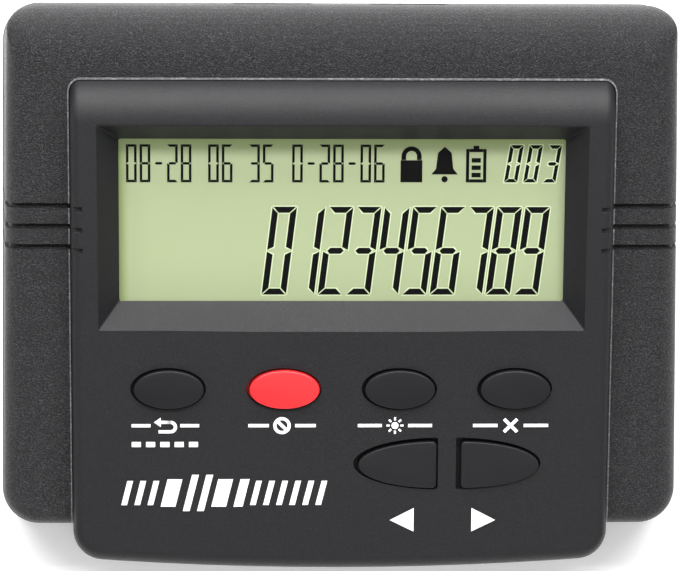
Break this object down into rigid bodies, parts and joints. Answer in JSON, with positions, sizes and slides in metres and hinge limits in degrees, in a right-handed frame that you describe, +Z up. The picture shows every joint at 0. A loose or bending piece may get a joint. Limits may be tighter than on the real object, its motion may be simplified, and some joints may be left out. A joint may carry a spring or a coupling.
{
  "type": "desk call blocker",
  "caption": "Wedge-shaped desk telephone call blocker with a lit display, oval keys, arrow keys, rear line sockets and a battery bay.",
  "frame": {"origin": "on the table, under the middle of the case", "axes": "+X to the user's right, +Y to the rear of the case, +Z up"},
  "size_m": [0.12, 0.1008, 0.0358],
  "materials": {
    "outer_cover": "charcoal ABS with a coarse moulded grain",
    "front_panel": "charcoal ABS with a fine moulded grain",
    "bottom_case": "charcoal ABS",
    "lcd_window": "clear acrylic lens",
    "lcd_glass": "lit reflective liquid crystal panel",
    "lcd_frame": "white polycarbonate",
    "backlight_guide": "frosted acrylic light guide",
    "backlight_leds": "surface mount lamps",
    "zebra_strip": "silicone connector strip",
    "main_board": "green glass epoxy board",
    "keypad_mat": "grey silicone",
    "processor_chip": "epoxy package with tinned legs",
    "clock_crystal": "nickel plated can",
    "jack_board": "green glass epoxy board",
    "line_jack": "black nylon modular jack",
    "phone_jack": "black nylon modular jack",
    "jack_contacts": "gold plated spring wires",
    "line_transformer": "ferrite core with a wound bobbin",
    "line_relay": "moulded relay case",
    "capacitors": "sleeved aluminium cans",
    "ribbon_cable": "grey flat cable",
    "battery_cell_front": "plain sleeved cell",
    "battery_cell_middle": "plain sleeved cell",
    "battery_cell_rear": "plain sleeved cell",
    "battery_springs": "nickel plated wire",
    "battery_plates": "nickel plated strip",
    "battery_leads": "insulated wire",
    "case_screws": "zinc plated",
    "board_screws": "zinc plated",
    "rubber_feet": "black rubber",
    "back_key": "charcoal ABS",
    "block_key": "red ABS",
    "bright_key": "charcoal ABS",
    "delete_key": "charcoal ABS",
    "left_key": "charcoal ABS",
    "right_key": "charcoal ABS",
    "battery_door": "charcoal ABS"
  },
  "bodies": {
    "housing": {"outer_cover": "outer_cover", "front_panel": "front_panel", "bottom_case": "bottom_case", "lcd_window": "lcd_window", "lcd_glass": "lcd_glass", "lcd_frame": "lcd_frame", "backlight_guide": "backlight_guide", "backlight_leds": "backlight_leds", "zebra_strip": "zebra_strip", "main_board": "main_board", "keypad_mat": "keypad_mat", "processor_chip": "processor_chip", "clock_crystal": "clock_crystal", "jack_board": "jack_board", "line_jack": "line_jack", "phone_jack": "phone_jack", "jack_contacts": "jack_contacts", "line_transformer": "line_transformer", "line_relay": "line_relay", "capacitors": "capacitors", "ribbon_cable": "ribbon_cable", "battery_cell_front": "battery_cell_front", "battery_cell_middle": "battery_cell_middle", "battery_cell_rear": "battery_cell_rear", "battery_springs": "battery_springs", "battery_plates": "battery_plates", "battery_leads": "battery_leads", "case_screws": "case_screws", "board_screws": "board_screws", "rubber_feet": "rubber_feet"},
    "back_key": {"back_key": "back_key"},
    "block_key": {"block_key": "block_key"},
    "bright_key": {"bright_key": "bright_key"},
    "delete_key": {"delete_key": "delete_key"},
    "left_key": {"left_key": "left_key"},
    "right_key": {"right_key": "right_key"},
    "battery_door": {"battery_door": "battery_door"}
  },
  "joints": [
    {"name": "back_key_press", "type": "slide", "parent": "housing", "child": "back_key", "axis": [0, 0.2079, -0.9781], "range_m": [0, 0.001], "stiffness_N_per_m": 800, "springref_m": -0.0004, "deforming": ["keypad_mat"]},
    {"name": "block_key_press", "type": "slide", "parent": "housing", "child": "block_key", "axis": [0, 0.2079, -0.9781], "range_m": [0, 0.001], "stiffness_N_per_m": 800, "springref_m": -0.0004, "deforming": ["keypad_mat"]},
    {"name": "bright_key_press", "type": "slide", "parent": "housing", "child": "bright_key", "axis": [0, 0.2079, -0.9781], "range_m": [0, 0.001], "stiffness_N_per_m": 800, "springref_m": -0.0004, "deforming": ["keypad_mat"]},
    {"name": "delete_key_press", "type": "slide", "parent": "housing", "child": "delete_key", "axis": [0, 0.2079, -0.9781], "range_m": [0, 0.001], "stiffness_N_per_m": 800, "springref_m": -0.0004, "deforming": ["keypad_mat"]},
    {"name": "left_key_press", "type": "slide", "parent": "housing", "child": "left_key", "axis": [0, 0.2079, -0.9781], "range_m": [0, 0.001], "stiffness_N_per_m": 800, "springref_m": -0.0004, "deforming": ["keypad_mat"]},
    {"name": "right_key_press", "type": "slide", "parent": "housing", "child": "right_key", "axis": [0, 0.2079, -0.9781], "range_m": [0, 0.001], "stiffness_N_per_m": 800, "springref_m": -0.0004, "deforming": ["keypad_mat"]},
    {"name": "battery_door_lift", "type": "slide", "parent": "housing", "child": "battery_door", "axis": [0, 0, -1], "range_m": [0, 0.02]}
  ]
}
